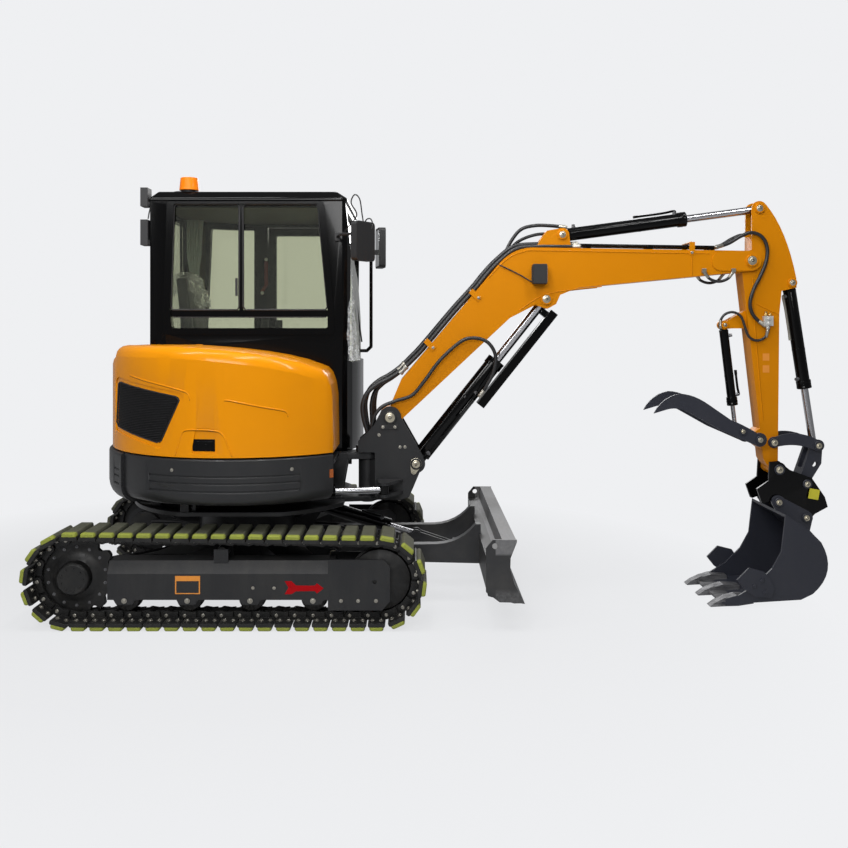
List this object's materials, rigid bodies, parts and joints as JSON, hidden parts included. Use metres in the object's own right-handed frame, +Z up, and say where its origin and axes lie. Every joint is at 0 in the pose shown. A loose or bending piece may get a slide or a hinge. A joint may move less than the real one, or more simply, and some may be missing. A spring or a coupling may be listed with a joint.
{
  "type": "mini excavator",
  "caption": "Tracked mini excavator with a closed cab, dozer blade, side-swinging boom, arm, quick coupler, bucket and thumb, all jointed.",
  "frame": {"origin": "on the ground under the slew axis, midway between the tracks", "axes": "+X forward from cab to blade, +Y to the machine's left, +Z up"},
  "size_m": [4.6704, 1.8111, 2.5937],
  "materials": {
    "body_yellow": "gloss",
    "boom_yellow": "satin",
    "frame_grey": "satin",
    "tool_grey": "worn",
    "gloss_black": "gloss",
    "cast": "cast",
    "rod_chrome": "polished",
    "clear_glass": "clear",
    "shoe_rubber": "dusty",
    "seat_cloth": "woven",
    "curtain_cloth": "woven",
    "trim_black": "matte",
    "lamp_shell": "gloss"
  },
  "bodies": {
    "undercarriage": {"chassis": "frame_grey", "track_frames": "frame_grey", "track_right": "shoe_rubber", "track_left": "shoe_rubber", "sprockets": "cast", "idlers_and_rollers": "cast", "slew_ring": "cast"},
    "blade": {"dozer_blade": "tool_grey"},
    "blade_barrel": {"blade_barrel": "gloss_black"},
    "blade_rod": {"blade_rod": "rod_chrome"},
    "house": {"deck_frame": "frame_grey", "counterweight": "cast", "skirts": "frame_grey", "engine": "cast", "cab_frame": "gloss_black", "cab_roof": "gloss_black", "cab_windows": "clear_glass", "seat": "seat_cloth", "curtain": "curtain_cloth", "controls": "trim_black", "mirrors": "trim_black", "handrail": "gloss_black", "lamps": "lamp_shell"},
    "hood": {"side_hood": "body_yellow", "hood_grille": "trim_black"},
    "bonnet": {"rear_bonnet": "body_yellow"},
    "door": {"cab_door": "gloss_black", "door_window": "clear_glass"},
    "bracket": {"swing_bracket": "frame_grey"},
    "swing_barrel": {"swing_barrel": "gloss_black"},
    "swing_rod": {"swing_rod": "rod_chrome"},
    "boom": {"boom": "boom_yellow", "boom_pipes": "trim_black", "boom_lamp": "lamp_shell"},
    "boom_barrel": {"boom_barrel": "gloss_black"},
    "boom_rod": {"boom_rod": "rod_chrome", "rod_guard": "gloss_black"},
    "arm_barrel": {"arm_barrel": "gloss_black"},
    "arm_rod": {"arm_rod": "rod_chrome"},
    "arm": {"arm": "boom_yellow"},
    "bucket_barrel": {"bucket_barrel": "gloss_black"},
    "bucket_rod": {"bucket_rod": "rod_chrome"},
    "guide_links": {"guide_links": "tool_grey"},
    "bucket_link": {"bucket_link": "tool_grey"},
    "bucket": {"coupler": "tool_grey", "bucket": "tool_grey"},
    "thumb": {"thumb": "tool_grey"},
    "thumb_barrel": {"thumb_barrel": "gloss_black"},
    "thumb_rod": {"thumb_rod": "rod_chrome"}
  },
  "joints": [
    {"name": "slew", "type": "hinge", "parent": "undercarriage", "child": "house", "pos_m": [0, 0, 0.56], "axis": [0, 0, 1], "continuous": true},
    {"name": "blade_lift", "type": "hinge", "parent": "undercarriage", "child": "blade", "pos_m": [0.56, 0, 0.3], "axis": [0, -1, 0], "range_deg": [-28, 12]},
    {"name": "blade_barrel_pivot", "type": "hinge", "parent": "undercarriage", "child": "blade_barrel", "pos_m": [0.44, 0, 0.53], "axis": [0, -1, 0], "range_deg": [-21, 9]},
    {"name": "blade_rod_slide", "type": "slide", "parent": "blade_barrel", "child": "blade_rod", "axis": [0.956, 0, -0.2933], "range_m": [-0.037, 0.083]},
    {"name": "boom_swing", "type": "hinge", "parent": "house", "child": "bracket", "pos_m": [0.755, -0.15, 0.75], "axis": [0, 0, -1], "range_deg": [-60, 50]},
    {"name": "swing_barrel_pivot", "type": "hinge", "parent": "house", "child": "swing_barrel", "pos_m": [-0.15, -0.56, 0.688], "axis": [0, 0, -1], "range_deg": [-5, 5]},
    {"name": "swing_rod_slide", "type": "slide", "parent": "swing_barrel", "child": "swing_rod", "axis": [0.9833, 0.1821, 0], "range_m": [-0.186, 0.223]},
    {"name": "boom_lift", "type": "hinge", "parent": "bracket", "child": "boom", "pos_m": [0.898, -0.15, 1.107], "axis": [0, -1, 0], "range_deg": [-65, 45]},
    {"name": "boom_barrel_pivot", "type": "hinge", "parent": "bracket", "child": "boom_barrel", "pos_m": [1.056, -0.15, 0.824], "axis": [0, -1, 0], "range_deg": [-63, 44]},
    {"name": "boom_rod_slide", "type": "slide", "parent": "boom_barrel", "child": "boom_rod", "axis": [0.6218, 0, 0.7831], "range_m": [-0.324, 0.225]},
    {"name": "arm_crowd", "type": "hinge", "parent": "boom", "child": "arm", "pos_m": [3.109, -0.15, 2.064], "axis": [0, 1, 0], "range_deg": [-65, 42]},
    {"name": "arm_barrel_pivot", "type": "hinge", "parent": "boom", "child": "arm_barrel", "pos_m": [1.955, -0.15, 2.225], "axis": [0, 1, 0], "range_deg": [-3, 2]},
    {"name": "arm_rod_slide", "type": "slide", "parent": "arm_barrel", "child": "arm_rod", "axis": [0.9912, 0, 0.132], "range_m": [-0.329, 0.213]},
    {"name": "bucket_curl", "type": "hinge", "parent": "arm", "child": "bucket", "pos_m": [3.268, -0.15, 0.79], "axis": [0, 1, 0], "range_deg": [-90, 70]},
    {"name": "bucket_barrel_pivot", "type": "hinge", "parent": "arm", "child": "bucket_barrel", "pos_m": [3.365, -0.15, 1.93], "axis": [0, 1, 0], "range_deg": [-3, 2]},
    {"name": "bucket_rod_slide", "type": "slide", "parent": "bucket_barrel", "child": "bucket_rod", "axis": [0.1517, 0, -0.9884], "range_m": [-0.266, 0.208]},
    {"name": "guide_link_pivot", "type": "hinge", "parent": "arm", "child": "guide_links", "pos_m": [3.246, -0.15, 0.952], "axis": [0, 1, 0], "range_deg": [-67, 52]},
    {"name": "bucket_link_pivot", "type": "hinge", "parent": "bucket", "child": "bucket_link", "pos_m": [3.438, -0.15, 0.702], "axis": [0, 1, 0], "range_deg": [-50, 64]},
    {"name": "thumb_fold", "type": "hinge", "parent": "arm", "child": "thumb", "pos_m": [3.14, -0.15, 0.974], "axis": [0, 1, 0], "range_deg": [-60, 35]},
    {"name": "thumb_barrel_pivot", "type": "hinge", "parent": "arm", "child": "thumb_barrel", "pos_m": [2.96, -0.15, 1.671], "axis": [0, 1, 0], "range_deg": [-3, 4]},
    {"name": "thumb_rod_slide", "type": "slide", "parent": "thumb_barrel", "child": "thumb_rod", "axis": [0.1184, 0, -0.993], "range_m": [-0.059, 0.1]},
    {"name": "door_hinge", "type": "hinge", "parent": "house", "child": "door", "pos_m": [-0.03, 0.832, 1.65], "axis": [0, 0, 1], "range_deg": [0, 150]},
    {"name": "hood_hinge", "type": "hinge", "parent": "house", "child": "hood", "pos_m": [-0.4, -0.181, 1.543], "axis": [-1, 0, 0], "range_deg": [0, 60]},
    {"name": "bonnet_hinge", "type": "hinge", "parent": "house", "child": "bonnet", "pos_m": [-0.599, 0.22, 1.498], "axis": [0, 1, 0], "range_deg": [0, 60]}
  ],
  "couplings": [
    {"joint": "blade_barrel_pivot", "follows": "blade_lift", "ratio": 0.7026},
    {"joint": "blade_rod_slide", "follows": "blade_lift", "m_per_rad": -0.1649},
    {"joint": "swing_barrel_pivot", "follows": "boom_swing", "ratio": 0.0748},
    {"joint": "swing_rod_slide", "follows": "boom_swing", "m_per_rad": -0.2105},
    {"joint": "boom_barrel_pivot", "follows": "boom_lift", "ratio": 0.9468},
    {"joint": "boom_rod_slide", "follows": "boom_lift", "m_per_rad": 0.2832},
    {"joint": "arm_barrel_pivot", "follows": "arm_crowd", "ratio": 0.0268},
    {"joint": "arm_rod_slide", "follows": "arm_crowd", "m_per_rad": 0.2878},
    {"joint": "bucket_barrel_pivot", "follows": "bucket_curl", "ratio": 0.02},
    {"joint": "bucket_rod_slide", "follows": "bucket_curl", "m_per_rad": 0.168},
    {"joint": "guide_link_pivot", "follows": "bucket_curl", "ratio": 0.73},
    {"joint": "bucket_link_pivot", "follows": "bucket_curl", "ratio": -0.7},
    {"joint": "thumb_barrel_pivot", "follows": "thumb_fold", "ratio": -0.0498},
    {"joint": "thumb_rod_slide", "follows": "thumb_fold", "m_per_rad": -0.0927}
  ]
}
